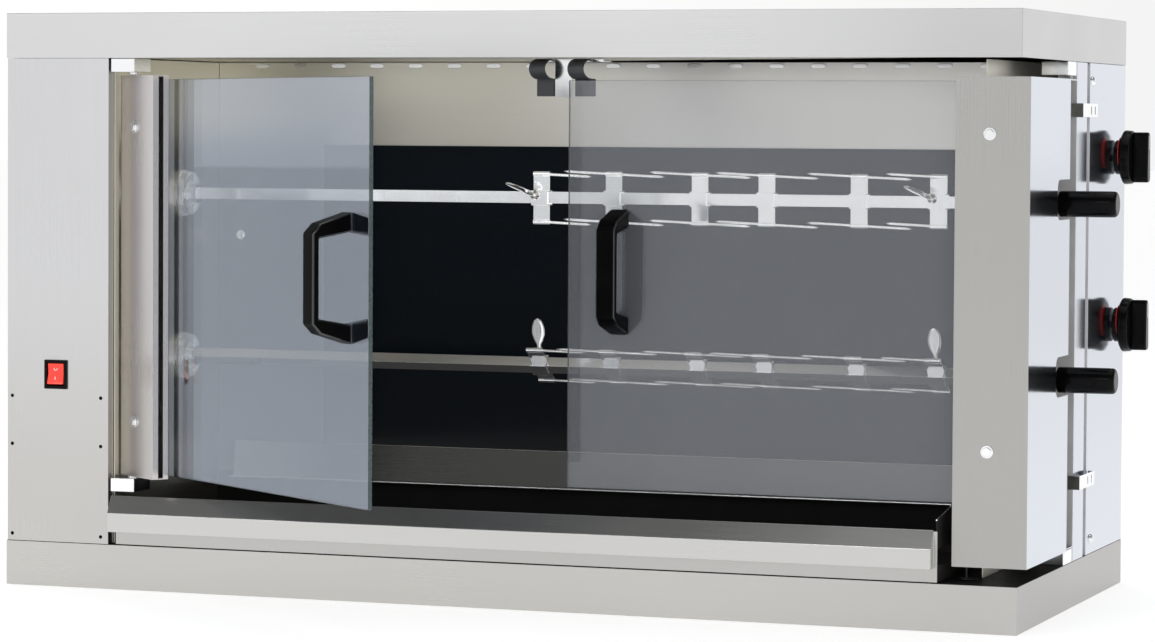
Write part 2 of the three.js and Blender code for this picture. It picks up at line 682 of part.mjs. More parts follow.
const leftBlock = [CABINET_EDGE + SHEET + GAP, y(3)];
const rightBlock = [HALF - HINGE_BLOCK.width, y(SIDE_BOX_FRONT - 3 - HINGE_BLOCK.depth)];
const pinIn = ([x, front], pivot) => [pivot.x - x, y(pivot.depth) - front];
const blockTop = PANEL_TOP - HINGE_BLOCK.height;
[
  ['hinge_block_left_upper', leftBlock, LEFT_PIVOT, blockTop],
  ['hinge_block_left_lower', leftBlock, LEFT_PIVOT, LEFT_DOOR_BOTTOM - 2 - HINGE_BLOCK.height],
  ['hinge_block_right_upper', rightBlock, RIGHT_PIVOT, blockTop],
  ['hinge_block_right_lower', rightBlock, RIGHT_PIVOT, PANEL_BOTTOM],
].forEach(([name, corner, pivot, z]) =>
  add(object, name, hingeBlock(...pinIn(corner, pivot)), 'bright', [...corner, z]));

add(object, 'catch_bracket', catchBracket(), 'bright');
add(object, 'door_catch_left', doorCatch(CATCH.left), 'rubber');
add(object, 'door_catch_right', doorCatch(CATCH.right), 'rubber');
add(object, 'side_clip_upper', sideClip(), 'bright', [0, 0, 497]);
add(object, 'side_clip_lower', sideClip(), 'bright', [0, 0, 120]);

add(object, 'switch_body', switchBody(), 'black', [SWITCH.x, 0, SWITCH.z]);
const rockerTilt = group(object, [SWITCH.x, y(5), SWITCH.z], 'x', -6);
add(rockerTilt, 'switch_rocker', switchRocker(), 'red');
add(object, 'cable_gland', cableGland(), 'black');

const leftDoor = group(object, [LEFT_PIVOT.x, y(LEFT_PIVOT.depth), 0], 'z', -LEFT_DOOR_OPEN);
const glassFront = STILE_DEPTH - PIVOT_INSET + GAP;
add(leftDoor, 'left_door_frame', leftDoorFrame(), 'door');
add(leftDoor, 'left_door_glass', block(
  [6, glassFront, GLASS_BOTTOM],
  [DOOR_REACH, glassFront + GLASS_THICKNESS, GLASS_TOP],
), 'glass');
add(leftDoor, 'left_door_handle', doorHandle(), 'black',
  [DOOR_REACH - HANDLE_INSET.left, glassFront - GAP, HANDLE.z]);

const meeting = LEFT_PIVOT.x + DOOR_REACH + 2;
const rightGlassFront = y(DOOR_FRONT + STILE_DEPTH + GAP);
add(object, 'right_door_frame', rightDoorFrame(), 'door');
add(object, 'right_door_glass', block(
  [meeting, rightGlassFront, GLASS_BOTTOM],
  [RETURN_X - 16, rightGlassFront + GLASS_THICKNESS, GLASS_TOP],
), 'glass');
add(object, 'right_door_handle', doorHandle(), 'black',
  [meeting + HANDLE_INSET.right, rightGlassFront - GAP, HANDLE.z]);

add(object, 'drip_tray', dripTray(), 'casing');

add(object, 'drive_chain', driveChain(), 'chain');
const motorPlace = [0, y(MOTOR.depth), MOTOR.height];
add(object, 'gearmotor', gearmotor(), 'cast', motorPlace);
add(object, 'motor_sprocket', motorSprocket(), 'chain', motorPlace);

for (const [level, height] of Object.entries(SPIT_HEIGHTS)) {
  const axis = [0, y(SPIT_DEPTH), height];
  add(object, `bearing_cup_${level}`, bearingCup(), 'bright', axis);
  add(object, `radiant_heater_${level}`, radiantHeater(), 'cast', [0, 0, height]);
  const spit = group(object, axis, 'x', level === 'lower' ? LOWER_SPIT_TURN : 0);
  add(spit, `drive_shaft_${level}`, driveShaft(0), 'bright');
  add(spit, `spit_bar_${level}`, spitBar(), 'chrome');
  add(spit, `spit_handle_${level}`, spitHandle(), 'black');
  FORK_PLACES.forEach((x, i) => {
    const reaches = [i === 0 ? 9 : 56, i === FORK_PLACES.length - 1 ? 9 : 56];
    add(spit, `fork_${level}_${i + 1}`, fork(reaches), 'chrome', [x, 0, 0]);
  });
}

for (const [level, height] of Object.entries(KNOB_HEIGHTS)) {
  const axis = [0, y(KNOB.depth), height];
  add(object, `regulator_${level}`, regulator(), 'cast', axis);
  add(object, `knob_${level}`, knob(), 'black', [HALF, y(KNOB.depth), height]);
}

export default object;
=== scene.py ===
"""Counter-top rotisserie oven: finishes, fine hardware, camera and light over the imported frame.

Metres, +Z up, the front faces -Y. Most pieces take their place from the box of a CAD node; the
bare places are metres in the frame. Profiles and outlines are millimetres in a piece's own space.
"""

import json
import math

import bmesh
import bpy
from mathutils import Matrix, Vector


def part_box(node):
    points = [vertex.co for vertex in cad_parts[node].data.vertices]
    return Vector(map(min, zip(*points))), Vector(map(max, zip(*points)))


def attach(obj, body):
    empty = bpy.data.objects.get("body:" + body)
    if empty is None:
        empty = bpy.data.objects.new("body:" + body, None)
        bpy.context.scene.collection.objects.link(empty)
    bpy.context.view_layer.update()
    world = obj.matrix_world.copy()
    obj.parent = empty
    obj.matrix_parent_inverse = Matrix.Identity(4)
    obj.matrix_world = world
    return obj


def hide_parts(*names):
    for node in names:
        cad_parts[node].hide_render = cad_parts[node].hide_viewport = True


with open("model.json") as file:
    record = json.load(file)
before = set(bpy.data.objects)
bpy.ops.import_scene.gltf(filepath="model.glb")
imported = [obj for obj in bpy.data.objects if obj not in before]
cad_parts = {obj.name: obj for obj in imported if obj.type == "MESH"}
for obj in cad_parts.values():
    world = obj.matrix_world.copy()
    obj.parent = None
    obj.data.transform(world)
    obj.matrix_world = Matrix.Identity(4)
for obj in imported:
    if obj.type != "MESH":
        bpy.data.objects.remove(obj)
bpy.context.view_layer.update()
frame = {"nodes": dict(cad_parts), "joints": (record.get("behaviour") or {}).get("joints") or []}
nodes = frame["nodes"]
MM = 0.001
scene = bpy.context.scene

# How far the left door stands open at rest
LEFT_DOOR_TURN = Matrix.Rotation(math.radians(-37), 4, "Z")

# ---------------------------------------------------------------- materials


def new_material(name, **values):
    """A Principled material with the given socket values."""
    material = bpy.data.materials.new(name)
    material.use_nodes = True
    shader = material.node_tree.nodes["Principled BSDF"]
    for socket, value in values.items():
        shader.inputs[socket.replace("_", " ")].default_value = value
    return material


def noise(material, scale, stretch=(1, 1, 1), detail=3):
    """A noise texture in the object's own space, drawn out along an axis by stretch."""
    tree = material.node_tree
    coords = tree.nodes.new("ShaderNodeTexCoord")
    mapping = tree.nodes.new("ShaderNodeMapping")
    mapping.inputs["Scale"].default_value = stretch
    texture = tree.nodes.new("ShaderNodeTexNoise")
    texture.inputs["Scale"].default_value = scale
    texture.inputs["Detail"].default_value = detail
    tree.links.new(coords.outputs["Object"], mapping.inputs["Vector"])
    tree.links.new(mapping.outputs["Vector"], texture.inputs["Vector"])
    return texture.outputs["Fac"]


NOISE_MIDDLE = (0.3, 0.7)


def spread(material, value, low, high):
    """Maps the middle of a noise value onto low to high."""
    tree = material.node_tree
    node = tree.nodes.new("ShaderNodeMapRange")
    node.inputs["From Min"].default_value = NOISE_MIDDLE[0]
    node.inputs["From Max"].default_value = NOISE_MIDDLE[1]
    node.inputs["To Min"].default_value = low
    node.inputs["To Max"].default_value = high
    tree.links.new(value, node.inputs["Value"])
    return node.outputs["Result"]


def mix_colours(material, value, dark, light):
    tree = material.node_tree
    node = tree.nodes.new("ShaderNodeMix")
    node.data_type = "RGBA"
    node.inputs["A"].default_value = (*dark, 1)
    node.inputs["B"].default_value = (*light, 1)
    tree.links.new(value, node.inputs["Factor"])
    return node.outputs["Result"]


def link(material, output, socket):
    shader = material.node_tree.nodes["Principled BSDF"]
    material.node_tree.links.new(output, shader.inputs[socket])


def bump(material, value, strength, distance):
    tree = material.node_tree
    node = tree.nodes.new("ShaderNodeBump")
    node.inputs["Strength"].default_value = strength
    node.inputs["Distance"].default_value = distance
    tree.links.new(value, node.inputs["Height"])
    link(material, node.outputs["Normal"], "Normal")


def share_along(material, axis, start, stop):
    """Rises from 0 to 1 between two shares of the object's box along an axis."""
    tree = material.node_tree
    coords = tree.nodes.new("ShaderNodeTexCoord")
    split = tree.nodes.new("ShaderNodeSeparateXYZ")
    node = tree.nodes.new("ShaderNodeMapRange")
    node.interpolation_type = "SMOOTHSTEP"
    node.inputs["From Min"].default_value = start
    node.inputs["From Max"].default_value = stop
    tree.links.new(coords.outputs["Generated"], split.inputs["Vector"])
    tree.links.new(split.outputs[axis.upper()], node.inputs["Value"])
    return node.outputs["Result"]


def toned(material, colour, tone, places):
    """Turns a colour toward a tone where all the given (axis, start, stop) shares are reached."""
    tree = material.node_tree
    factor = share_along(material, *places[0])
    for place in places[1:]:
        product = tree.nodes.new("ShaderNodeMath")
        product.operation = "MULTIPLY"
        tree.links.new(factor, product.inputs[0])
        tree.links.new(share_along(material, *place), product.inputs[1])
        factor = product.outputs["Value"]
    node = tree.nodes.new("ShaderNodeMix")
    node.data_type = "RGBA"
    tree.links.new(factor, node.inputs["Factor"])
    tree.links.new(colour, node.inputs["A"])
    node.inputs["B"].default_value = (*tone, 1)
    return node.outputs["Result"]


# Noise scales that draw the brushing out along an axis
GRAIN = {"x": (2.5, 330, 330), "z": (330, 330, 2.5)}
# How far the brushing moves the tone and the roughness
STREAK = 0.012


def brushed(name, colour, rough, along, tones=(), **values):
    """Sheet steel with a fine grain along one axis and a faint cloudiness.

    Each of the tones is a colour and the (axis, start, stop) shares where it takes over.
    """
    material = new_material(name, Metallic=1.0, Roughness=rough, **values)
    lines = noise(material, 3.0, GRAIN[along])
    clouds = noise(material, 5.0, detail=2)
    dark = [c * (1 - STREAK) for c in colour]
    light = [min(1, c * (1 + STREAK)) for c in colour]
    base = mix_colours(material, spread(material, lines, 0, 1), dark, light)
    for tone, *places in tones:
        base = toned(material, base, tone, places)
    link(material, base, "Base Color")
    tree = material.node_tree
    total = tree.nodes.new("ShaderNodeMath")
    total.operation = "ADD"
    tree.links.new(spread(material, lines, rough - STREAK, rough + STREAK), total.inputs[0])
    tree.links.new(spread(material, clouds, -0.03, 0.03), total.inputs[1])
    link(material, total.outputs["Value"], "Roughness")
    bump(material, lines, 0.01, 0.00006)
    return material


def polished(name, colour, rough, **values):
    """Bright plated metal with faint wipe marks."""
    material = new_material(name, Base_Color=(*colour, 1), Metallic=1.0, **values)
    wipes = noise(material, 60, detail=4)
    link(material, spread(material, wipes, rough - 0.03, rough + 0.05), "Roughness")
    bump(material, noise(material, 900, detail=2), 0.05, 0.00004)
    return material


def moulded(name, colour, rough, grain=700, strength=0.15, **values):
    """Moulded plastic, rubber or dull metal with a fine skin texture and slight tone changes."""
    material = new_material(name, **values)
    tone = spread(material, noise(material, 30), 0, 1)
    light = [min(1, c * 1.25 + 0.001) for c in colour]
    link(material, mix_colours(material, tone, colour, light), "Base Color")
    worn = noise(material, 120)
    link(material, spread(material, worn, rough - 0.04, rough + 0.05), "Roughness")
    bump(material, noise(material, grain), strength, 0.00005)
    return material


def door_glass(name, veil, ior, tint, painted_veil):
    """Clear pane under a thin veil: a flat painted veil colour and a sharp reflection, both in
    proportion to veil; on the shut pane the veil colour is a painted reflection.
    """
    material = new_material(
        name, Roughness=0.015, Alpha=veil, IOR=ior, Specular_Tint=(*tint, 1))
    cloud = spread(material, noise(material, 6, (1, 1, 0.35), detail=4), 0, 1)
    dark = [c * 0.94 for c in painted_veil]
    light = [c * 1.06 for c in painted_veil]
    link(material, mix_colours(material, cloud, dark, light), "Base Color")
    return material


def glass_edge():
    material = new_material("ground_glass_edge", Roughness=0.2, Alpha=0.9)
    frost = spread(material, noise(material, 400), 0, 1)
    colour = mix_colours(material, frost, (0.03, 0.05, 0.055), (0.08, 0.115, 0.12))
    link(material, colour, "Base Color")
    return material


def ceramic():
    """Black ceramic glass with fine specks."""
    material = new_material("ceramic_glass", IOR=1.2)
    specks = noise(material, 900, detail=2)
    clouds = noise(material, 4)
    colour = mix_colours(
        material, spread(material, specks, 0, 1), (0.002, 0.0055, 0.009), (0.005, 0.009, 0.014))
    link(material, colour, "Base Color")
    link(material, spread(material, clouds, 0.10, 0.17), "Roughness")
    bump(material, clouds, 0.04, 0.0005)
    return material


LINING = (0.84, 0.81, 0.71)
CHROME = (0.95, 0.95, 0.96)
BLACK = (0.002, 0.002, 0.0024)

looks = {
    # Painted shade: the hood's steel is painted darker toward its right end.
    "steel_x": brushed(
        "brushed_steel_hood_painted_shade", (0.66, 0.66, 0.665), 0.30, "x", Specular_Tint=(1.0, 1.0, 1.0, 1),
        tones=[((0.575, 0.575, 0.58), ("x", 0.70, 0.97))]),
    # Painted shade: the base's steel is painted darker toward its right end, and its lowered
    # specular tint dims the faces seen edge-on.
    "steel_base": brushed(
        "brushed_steel_base_painted_shade", (0.55, 0.54, 0.515), 0.30, "x", Specular_Tint=(0.81, 0.81, 0.83, 1),
        tones=[((0.52, 0.51, 0.49), ("x", 0.70, 0.95))]),
    "steel_z": brushed(
        "brushed_steel_upright", (0.63, 0.63, 0.64), 0.30, "z",
        tones=[((0.545, 0.535, 0.515), ("z", 0.6, 0.05))]),
    "steel_side": brushed("brushed_steel_side", (0.52, 0.52, 0.525), 0.30, "z"),
    # Painted light and shade: the two door stiles are one steel, painted lighter on the open left
    # door and darker on the shut right door.
    "stile_left": brushed("left_stile_steel_painted_light", (0.67, 0.645, 0.635), 0.26, "z"),
    "stile_right": brushed("right_stile_steel_painted_shade", (0.43, 0.425, 0.41), 0.30, "z"),
    # Painted reflection: a brighter, bluer steel for faces that look to the right, with a lowered
    # specular tint that dims them seen edge-on; it covers the right side panel and the right door's
    # side return.
    "return": brushed(
        "side_steel_painted_reflection", (0.665, 0.695, 0.765), 0.13, "z", Specular_Tint=(0.93, 0.94, 0.94, 1)),
    "liner": brushed("warm_steel_lining", LINING, 0.34, "x"),
    # Painted reflection and shade: the wall behind the cavity is painted brighter toward the right,
    # where it mirrors brighter surroundings, and dark at its lower left
    "back_liner": brushed("back_wall_lining_painted_light_and_shade", LINING, 0.34, "x", tones=[
        ((0.99, 0.975, 0.935), ("x", 0.33, 0.60)),
        ((0.16, 0.17, 0.19), ("x", 0.17, 0.13), ("z", 0.90, 0.78)),
    ]),
    # Painted shade: the lower reflector's steel is painted near black, lighter toward its left end.
    "liner_low": brushed(
        "lower_lining_painted_shade", (0.125, 0.125, 0.118), 0.30, "x",
        tones=[((0.40, 0.41, 0.43), ("x", 0.15, 0.07))]),
    "deck": brushed("tray_steel", (0.58, 0.575, 0.56), 0.24, "x"),
    # Painted shade and painted reflection: the tray's sloped grip is painted darker than its front,
    # and bright toward its right end.
    "tray_slope": brushed(
        "tray_slope_painted_light_and_shade", (0.44, 0.44, 0.43), 0.24, "x",
        tones=[((0.90, 0.90, 0.88), ("x", 0.70, 0.98))]),
    # Painted shade: the tray's upright front under the sloped grip is painted darker than the tray.
    "tray_low": brushed("tray_lower_front_painted_shade", (0.48, 0.475, 0.46), 0.24, "x"),
    # Painted light: a matte grey for the right side panel's front-facing faces, lighter than their
    # shaded steel would read.
    "flange_painted_light": moulded("flange_grey_painted_light", (0.58, 0.58, 0.60), 0.5, Metallic=0.2),
    "bright": polished("polished_steel", (0.90, 0.91, 0.92), 0.14),
    # Faint painted glow: the chrome carries a weak emission.
    "chrome": polished(
        "chrome_plate", CHROME, 0.09, Emission_Color=(1, 1, 1, 1), Emission_Strength=0.03),
    # Painted glow: parts that face the bright front of the studio through the doors carry an
    # emission that stands for brighter reflections
    "chrome_painted_glow": polished(
        "chrome_plate_painted_glow", CHROME, 0.09, Emission_Color=(0.95, 1, 1, 1),
        Emission_Strength=0.27),
    "cast": polished("cast_housing", (0.45, 0.46, 0.47), 0.45),
    "chain": polished("oiled_chain", (0.22, 0.22, 0.23), 0.4),
    # The open pane mirrors the bright studio strongly; the shut pane is mostly a painted grey
    # reflection veil. The two panes are one glass given different painted veils and reflection
    # strengths
    "glass_left": door_glass(
        "toughened_glass_left", 0.42, 6.1, (0.80, 0.875, 1.0), (0.012, 0.014, 0.018)),
    "glass_right": door_glass(
        "toughened_glass_right", 0.20, 2.37, (0.86, 0.93, 1.0), (0.37, 0.38, 0.415)),
    "glass_edge": glass_edge(),
    # Painted shade: near-black steel for the shaded top of the base and the shaded wall below the
    # reflector.
    "dark_deck": moulded("deck_steel_painted_shade", (0.018, 0.019, 0.018), 0.45, 900, 0.1, IOR=1.10),
    # Painted shade: near-black steel for the tray's shaded pan, its sideways outer faces and its
    # cheek.
    "tray_inside": moulded("tray_steel_painted_shade", (0.030, 0.031, 0.029), 0.4, 900, 0.1, IOR=1.12),
    "ceramic": ceramic(),
    "black": moulded("black_plastic", BLACK, 0.18, strength=0.08, IOR=1.20),
    "black_handle": moulded("black_handle_plastic", BLACK, 0.2, strength=0.08, IOR=1.08),
    "black_edge": moulded("polished_black_edge", BLACK, 0.12, strength=0.05, IOR=1.7),
    "rubber": moulded("dark_rubber", (0.035, 0.037, 0.042), 0.5, grain=1500, strength=0.3),
    "red": moulded(
        "red_rocker", (0.80, 0.025, 0.008), 0.2, Coat_Weight=0.6,
        Emission_Color=(1, 0.03, 0.01, 1), Emission_Strength=0.35),
    "red_mark": moulded("red_print", (0.62, 0.015, 0.015), 0.35),
    "white_mark": moulded("white_print", (0.80, 0.80, 0.78), 0.4),
    "dark_steel": polished("dark_screw_steel", (0.05, 0.05, 0.055), 0.35),
}

# ---------------------------------------------------------------- CAD nodes

# Edges that turn by more than this, in degrees, are rounded and stay sharp in the shading
EDGE_ANGLE = 34
SHEET_EDGE_ANGLE = 20
SHEET_LOOKS = (
    "steel_x", "steel_base", "steel_z", "steel_side", "stile_left", "stile_right", "return",
    "liner", "back_liner", "liner_low", "deck",
)
WELD_DISTANCE = 1e-6
FLAT_ANGLE = 0.6


def soften(obj, width, edge_angle=EDGE_ANGLE):
    """Welds a mesh's triangles into clean faces, rounds its edges and shades it by angle."""
    weld = obj.modifiers.new("weld", "WELD")
    weld.merge_threshold = WELD_DISTANCE
    flat = obj.modifiers.new("flat_faces", "DECIMATE")
    flat.decimate_type = "DISSOLVE"
    flat.angle_limit = math.radians(FLAT_ANGLE)
    if width:
        edge = obj.modifiers.new("edge", "BEVEL")
        edge.width = width
        edge.segments = 2
        edge.limit_method = "ANGLE"
        edge.angle_limit = math.radians(edge_angle)
        edge.use_clamp_overlap = True
        edge.harden_normals = True
    normals = obj.modifiers.new("normals", "WEIGHTED_NORMAL")
    normals.keep_sharp = True
    obj.data.shade_smooth()
    obj.data.set_sharp_from_angle(angle=math.radians(edge_angle))


def dress(name, look, bevel):
    """Gives a CAD node its finish and rounds its edges by bevel mm."""
    obj = nodes[name]
    obj.data.materials.clear()
    obj.data.materials.append(looks[look])
    soften(obj, bevel * MM, SHEET_EDGE_ANGLE if look in SHEET_LOOKS else EDGE_ANGLE)


DRESS = {
    ("steel_x", 0.9): ["top_hood"],
    ("steel_base", 0.9): ["base_plinth"],
    ("steel_z", 0.5): ["control_panel"],
    ("steel_side", 0.5): ["left_side_panel", "back_cover"],
    ("return", 0.45): ["right_side_panel"],
    ("stile_left", 0.45): ["left_door_frame"],
    ("stile_right", 0.45): ["right_door_frame"],
    ("liner", 0.3): ["cavity_left_wall", "cavity_right_wall", "ceiling_panel"],
    ("back_liner", 0.3): ["cavity_back_wall"],
    ("liner_low", 0.3): ["lower_reflector"],
    ("bright", 0.5): [
        "hinge_block_left_upper", "hinge_block_left_lower", "hinge_block_right_upper",
        "hinge_block_right_lower", "catch_bracket", "side_clip_upper", "side_clip_lower",
        "drive_shaft_upper", "drive_shaft_lower",
    ],
    # Painted glow on the upper spit bar; a faint painted glow on the lower.
    ("chrome_painted_glow", 0.7): ["spit_bar_upper"],
    ("chrome", 0.7): ["spit_bar_lower"],
    ("ceramic", 0.4): ["ceramic_back_panel"],
    ("cast", 1.0): [
        "radiant_heater_upper", "radiant_heater_lower", "regulator_upper", "regulator_lower",
        "gearmotor",
    ],
    ("chain", 0.2): ["drive_chain", "motor_sprocket"],
    ("glass_left", 0.9): ["left_door_glass"],
    ("glass_right", 0.9): ["right_door_glass"],
    ("black_handle", 2.2): ["left_door_handle", "right_door_handle"],
    ("black", 0.6): ["switch_body", "cable_gland"],
    ("rubber", 0.8): ["door_catch_left", "door_catch_right"],
    ("red", 0.7): ["switch_rocker"],
    ("deck", 0.5): ["drip_tray"],
}
for (look, bevel), names in DRESS.items():
    for name in names:
        dress(name, look, bevel)


def second_look(name, look, chosen):
    """Gives some of a CAD node's faces another finish."""
    mesh = nodes[name].data
    mesh.materials.append(looks[look])
    for face in mesh.polygons:
        if chosen(face):
            face.material_index = len(mesh.materials) - 1


# A face looks along an axis when its normal reaches this share of it
ALONG = 0.9
front_of_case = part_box("top_hood")[0][1]
tray_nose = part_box("drip_tray")[0][1]
# Just behind the front of the case, where the tray's face ends and its inside starts
tray_inside_y = front_of_case + 0.002


def in_tray(face):
    """The tray's floor and the faces that look forward or sideways behind its own front."""
    flat = face.normal.z > ALONG or face.normal.y < -ALONG or abs(face.normal.x) > ALONG
    return flat and face.center.y > tray_inside_y


def under_slope(face):
    """The tray's upright front, set back from the sloped grip."""
    return face.normal.y < -ALONG and tray_nose + 0.004 < face.center.y < tray_inside_y


# Painted reflection: the right door frame's sideways faces take a brighter, bluer steel than its
# front
second_look("right_door_frame", "return", lambda face: abs(face.normal.x) > ALONG)
# Painted light: the right side panel's front-facing faces take the matte grey.
second_look("right_side_panel", "flange_painted_light", lambda face: face.normal.y < -ALONG)
# Painted shade: the base's upward-facing deck faces take near-black steel.
second_look("base_plinth", "dark_deck", lambda face: face.normal.z > ALONG)
# Painted shade: the tray's floor and its inner and side faces take near-black steel.
second_look("drip_tray", "tray_inside", in_tray)
# Painted shade: the upward-sloping faces of the tray's grip take the darker painted slope steel.
second_look("drip_tray", "tray_slope", lambda face: face.normal.z > 0.3 and face.normal.y < -0.8)
# Painted shade under the sloped grip on the tray's upright front.
second_look("drip_tray", "tray_low", under_slope)
# The panes' narrow rims, in square metres
LARGEST_RIM = 0.005
for pane in ("left_door_glass", "right_door_glass"):
    second_look(pane, "glass_edge", lambda face: face.area < LARGEST_RIM)
# The chamfers along the handles catch the light
for side, turn in (("left", LEFT_DOOR_TURN), ("right", Matrix())):
    across = turn @ Vector((1, 0, 0))
    second_look(
        f"{side}_door_handle", "black_edge",
        lambda face: 0.5 < abs(face.normal.dot(across)) < 0.9)

# ---------------------------------------------------------------- piece making


def corners(name):
    """Low and high corner of a node's box."""
    low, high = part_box(name)
    return Vector(low), Vector(high)


def middle(name):
    low, high = corners(name)
    return (low + high) / 2


def piece(name, bm, look, body, replaces=(), at=None, bevel=0.0):
    """Turns a bmesh in metres into a shown piece on a body.

    at places it in the frame, and bevel is in mm.
    """
    bmesh.ops.recalc_face_normals(bm, faces=bm.faces)
    mesh = bpy.data.meshes.new(name)
    bm.to_mesh(mesh)
    bm.free()
    obj = bpy.data.objects.new(name, mesh)
    scene.collection.objects.link(obj)
    mesh.materials.append(looks[look])
    soften(obj, bevel * MM)
    if at is not None:
        obj.matrix_world = at
    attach(obj, body)
    if replaces:
        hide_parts(*replaces)
    return obj


def lathe(bm, profile, turn=Matrix(), sides=40):
    """Turned solid about local Z from a profile of (place along the axis, radius) in mm.

    A profile that starts and ends at radius 0 is closed at both ends.
    """
    rings = []
    for along, radius in profile:
        if radius <= 0:
            rings.append([bm.verts.new(turn @ Vector((0, 0, along * MM)))])
            continue
        rings.append([
            bm.verts.new(turn @ Vector((
                radius * MM * math.cos(2 * math.pi * i / sides),
                radius * MM * math.sin(2 * math.pi * i / sides),
                along * MM,
            )))
            for i in range(sides)
        ])
    for one, two in zip(rings, rings[1:]):
        for i in range(sides):
            j = (i + 1) % sides
            loop = [one[i % len(one)], one[j % len(one)], two[j % len(two)], two[i % len(two)]]
            loop = list(dict.fromkeys(loop))
            if len(loop) > 2:
                bm.faces.new(loop)


def hollow_lathe(bm, profile, sides):
    """Turned ring: the profile is a loop whose last point meets its first."""
    lathe(bm, profile, sides=sides)
    bmesh.ops.remove_doubles(bm, verts=bm.verts, dist=1e-7)


def ring(bm, low, high, inner, outer):
    """Flat washer about local Z, in mm."""
    hollow_lathe(
        bm, [(low, inner), (low, outer), (high, outer), (high, inner), (low, inner)], sides=28)


def slab(bm, low, high):
    """Block between two corners in mm."""
    size = [b - a for a, b in zip(low, high)]
    centre = [(b + a) / 2 for a, b in zip(low, high)]
    matrix = Matrix.Translation(Vector(centre) * MM) @ Matrix.Diagonal((*[s * MM for s in size], 1))
    bmesh.ops.create_cube(bm, size=1, matrix=matrix)


def prism(bm, outline, low, high, turn=Matrix()):
    """Prism along local Z over an outline of points (x, y) in mm."""
    bottom = [bm.verts.new(turn @ Vector((x * MM, y * MM, low * MM))) for x, y in outline]
    top = [bm.verts.new(turn @ Vector((x * MM, y * MM, high * MM))) for x, y in outline]
    bm.faces.new(bottom)
    bm.faces.new(top)
    for i in range(len(outline)):
        j = (i + 1) % len(outline)
        bm.faces.new((bottom[i], bottom[j], top[j], top[i]))


def crescent(bm, inner, outer, low, high, start, end, steps=24):
    """Strip about local Z from angle to angle: full in the middle, pointed at both ends."""
    rows = []
    for i in range(steps + 1):
        t = i / steps
        angle = start + (end - start) * t
        reach = inner + (outer - inner) * (0.08 + 0.92 * math.sin(math.pi * t))
        rows.append([
            bm.verts.new((r * MM * math.cos(angle), r * MM * math.sin(angle), z * MM))
            for r, z in ((inner, low), (reach, low), (reach, high), (inner, high))
        ])
    for one, two in zip(rows, rows[1:]):
        for k in range(4):
            bm.faces.new((one[k], one[(k + 1) % 4], two[(k + 1) % 4], two[k]))
    bm.faces.new(rows[0])
    bm.faces.new(rows[-1])


# Local Z turned to +X, with local X to +Y
ALONG_X = Matrix(((0, 0, 1, 0), (1, 0, 0, 0), (0, 1, 0, 0), (0, 0, 0, 1)))
FACING_FRONT = Matrix.Rotation(math.radians(90), 4, "X")


def facing(point, rotation=Matrix()):
    """Matrix that puts local Z outward along the rotated -Y direction at a point."""
    return Matrix.Translation(point) @ rotation @ FACING_FRONT


def from_left_end(name):
    """Matrix at the middle of a node's left end, with local Z along +X."""
    low, high = corners(name)
    centre = (low + high) / 2
    return Matrix.Translation((low.x, centre.y, centre.z)) @ ALONG_X


# ---------------------------------------------------------------- knobs, grips and bearings

KNOB_BOSS = [(0, 0), (0, 17.4), (0.5, 18), (7, 18), (7, 0)]
KNOB_SKIRT = [
    (7, 0), (7, 24.5), (7.8, 26), (9, 28), (10.5, 28.6), (16.5, 28), (17.8, 27.4), (18.6, 26),
    (18.6, 0),
]
KNOB_GRIP = [
    (-4.5, -26.4), (-7.5, -22), (-6, 22), (-3.5, 26.4), (3.5, 26.4), (6, 22), (7.5, -22),
    (4.5, -26.4),
]
BEARING = [
    (0, 11.6), (0, 25), (1.6, 25), (2.2, 24.4), (2.4, 23.4), (9.4, 22.8), (10.4, 21.8),
    (10.8, 20.4), (10.8, 17.4), (9.4, 16.8), (9.4, 14), (10.6, 13.4), (10.6, 11.6), (0, 11.6),
]


def make_knob(level):
    place = from_left_end(f"knob_{level}")
    body = f"{level}_knob"
    bm = bmesh.new()
    lathe(bm, KNOB_BOSS, sides=48)
    lathe(bm, KNOB_SKIRT, sides=72)
    piece(
        f"knob_skirt_{level}", bm, "black", body, [f"knob_{level}"], place, 0.3)
    bm = bmesh.new()
    prism(bm, KNOB_GRIP, 18.0, 34.8)
    piece(f"knob_grip_{level}", bm, "black", body, (), place, 1.6)
    bm = bmesh.new()
    slab(bm, (-0.7, 8, 34.6), (0.7, 23, 35.0))
    piece(f"knob_pointer_{level}", bm, "white_mark", body, (), place, 0.1)
    # A printed arc on the back of the skirt's rim
    bm = bmesh.new()
    crescent(bm, 19.0, 27.0, 6.3, 6.9, math.radians(95), math.radians(215))
    piece(f"knob_heat_mark_{level}", bm, "red_mark", body, (), place, 0.1)


def make_spit_grip(level):
    low, high = corners(f"spit_handle_{level}")
    length = (high.x - low.x) / MM
    shank = [(0, 0), (0, 11.6), (0.9, 12.7), (2.2, 13), (length - 7, 13)]
    rounding = [
        (length - 4 + 4 * math.sin(a), 9.4 + 3.6 * math.cos(a)) for a in (0.3, 0.7, 1.1, 1.5)]
    bm = bmesh.new()
    lathe(bm, shank + rounding + [(length, 0)], sides=48)
    piece(
        f"spit_grip_{level}", bm, "black", f"{level}_spit",
        [f"spit_handle_{level}"], from_left_end(f"spit_handle_{level}"))


def make_bearing(level):
    bm = bmesh.new()
    hollow_lathe(bm, BEARING, sides=64)
    # The bearing housing takes the chrome with a painted glow.
    piece(
        f"bearing_housing_{level}", bm, "chrome_painted_glow", "oven",
        [f"bearing_cup_{level}"], from_left_end(f"bearing_cup_{level}"))


# ---------------------------------------------------------------- forks

SPIT_Y = middle("spit_bar_upper").y
# The lower spit is caught part way through a turn
LOWER_TURN = math.radians(48)
